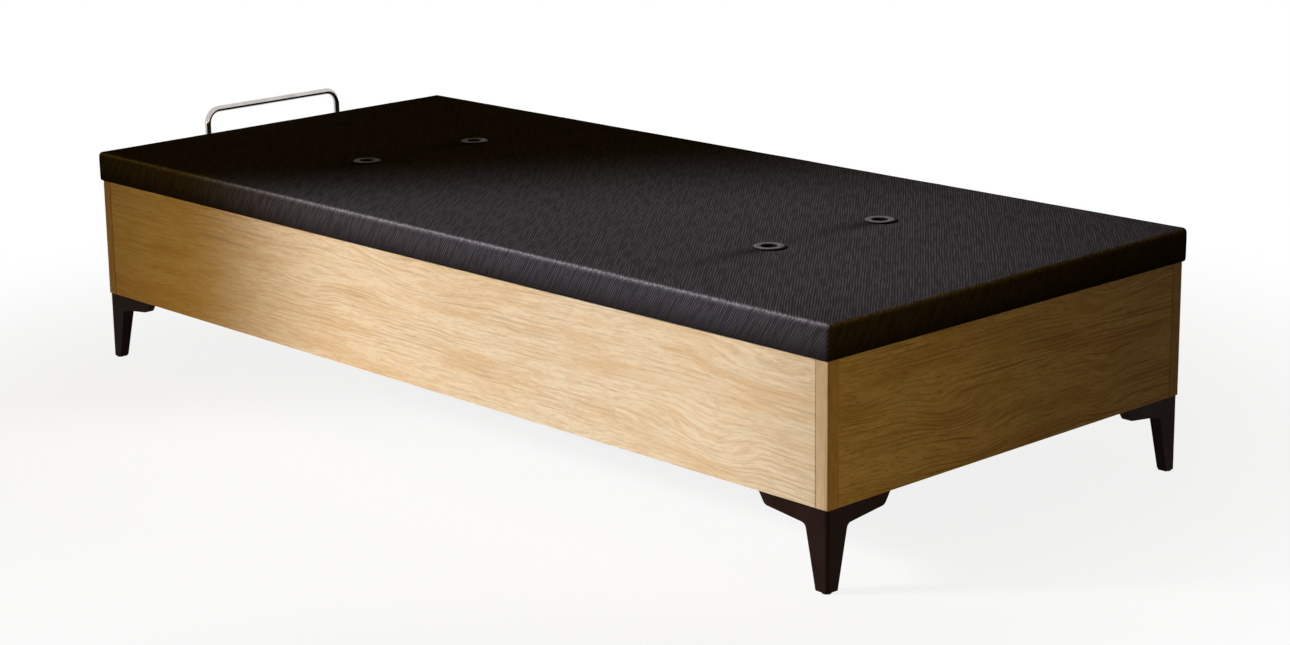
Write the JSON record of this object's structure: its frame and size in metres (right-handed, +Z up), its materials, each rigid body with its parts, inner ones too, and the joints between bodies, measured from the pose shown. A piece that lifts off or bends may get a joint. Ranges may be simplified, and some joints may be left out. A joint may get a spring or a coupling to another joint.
{
  "type": "lift-up storage bed",
  "caption": "Single bed: wooden storage box on bracket legs, closed by an upholstered ventilated lid that lifts at the foot on gas springs, with a mattress bar.",
  "frame": {"origin": "on the floor, under the middle of the bed and its mattress bar", "axes": "+X to the head end, +Y to the left as seen from the foot, +Z up"},
  "size_m": [2.0132, 0.9, 0.484],
  "materials": {
    "oak_laminate": "satin oak-effect laminate",
    "oak_post": "satin oak-effect laminate",
    "floor_hardboard": "plain hardboard",
    "pine": "planed softwood",
    "plywood": "sanded plywood",
    "dowel_wood": "beech",
    "leg_brown": "dark brown, satin",
    "glide_plastic": "matt black",
    "zinc_steel": "zinc plated",
    "cylinder_black": "black enamel",
    "chrome": "polished",
    "cover_fabric": "dark grey knitted spacer fabric",
    "foam": "polyurethane foam",
    "vent_plastic": "dark grey, satin"
  },
  "bodies": {
    "box": {"side_panel_left": "oak_laminate", "side_panel_right": "oak_laminate", "head_panel": "oak_laminate", "foot_panel": "oak_laminate", "corner_post_foot_right": "oak_post", "corner_post_head_right": "oak_post", "corner_post_head_left": "oak_post", "corner_post_foot_left": "oak_post", "floor_board_head": "floor_hardboard", "floor_board_foot": "floor_hardboard", "floor_ledger_left": "pine", "floor_ledger_right": "pine", "floor_slat_1": "pine", "floor_slat_2": "pine", "floor_slat_3": "pine", "floor_slat_4": "pine", "floor_slat_5": "pine", "floor_frame_screws": "zinc_steel", "corner_dowels": "dowel_wood", "leg_foot_right": "leg_brown", "leg_head_right": "leg_brown", "leg_head_left": "leg_brown", "leg_foot_left": "leg_brown", "foot_glides": "glide_plastic", "leg_screws": "zinc_steel", "base_plate_left": "zinc_steel", "base_plate_right": "zinc_steel", "base_plate_screws": "zinc_steel", "base_pivot_pins": "zinc_steel", "spring_lower_studs": "zinc_steel"},
    "lift_arms": {"lift_arm_left": "zinc_steel", "lift_arm_right": "zinc_steel"},
    "control_arms": {"control_arm_left": "zinc_steel", "control_arm_right": "zinc_steel", "slot_pins": "zinc_steel"},
    "lid": {"lid_rail_left": "pine", "lid_rail_right": "pine", "lid_rail_head": "pine", "lid_rail_foot": "pine", "lid_cross_bar_1": "pine", "lid_cross_bar_2": "pine", "lid_cross_bar_3": "pine", "lid_board": "plywood", "foam_pad": "foam", "fabric_cover": "cover_fabric", "air_vent_1": "vent_plastic", "air_vent_2": "vent_plastic", "air_vent_3": "vent_plastic", "air_vent_4": "vent_plastic", "lid_bracket_left": "zinc_steel", "lid_bracket_right": "zinc_steel", "lid_bracket_screws": "zinc_steel", "lid_pivot_pins": "zinc_steel", "spring_upper_studs": "zinc_steel", "mattress_bar": "chrome", "bar_bolts": "zinc_steel"},
    "gas_cylinders": {"gas_cylinder_left": "cylinder_black", "gas_cylinder_right": "cylinder_black"},
    "gas_rods": {"gas_rod_left": "chrome", "gas_rod_right": "chrome"}
  },
  "joints": [
    {"name": "lift_arm_swing", "type": "hinge", "parent": "box", "child": "lift_arms", "pos_m": [0.52665, 0, 0.316], "axis": [0, 1, 0], "range_deg": [-19.6, 0]},
    {"name": "lid_lift", "type": "hinge", "parent": "lift_arms", "child": "lid", "pos_m": [0.85665, 0, 0.334], "axis": [0, 1, 0], "range_deg": [0, 55.57]},
    {"name": "control_arm_swing", "type": "hinge", "parent": "box", "child": "control_arms", "pos_m": [0.75665, 0, 0.306], "axis": [0, 1, 0], "range_deg": [-31.72, 0]},
    {"name": "gas_cylinder_swing", "type": "hinge", "parent": "box", "child": "gas_cylinders", "pos_m": [0.77665, 0, 0.172], "axis": [0, 1, 0], "range_deg": [-13.84, 0]},
    {"name": "gas_rod_swing", "type": "hinge", "parent": "lid", "child": "gas_rods", "pos_m": [0.87465, 0, 0.345], "axis": [0, 1, 0], "range_deg": [-49.84, 0]}
  ],
  "couplings": [
    {"joint": "lift_arm_swing", "follows": "lid_lift", "ratio": -0.35218},
    {"joint": "control_arm_swing", "follows": "lid_lift", "ratio": -0.57032},
    {"joint": "gas_cylinder_swing", "follows": "lid_lift", "ratio": -0.24856},
    {"joint": "gas_rod_swing", "follows": "lid_lift", "ratio": -0.89638}
  ]
}
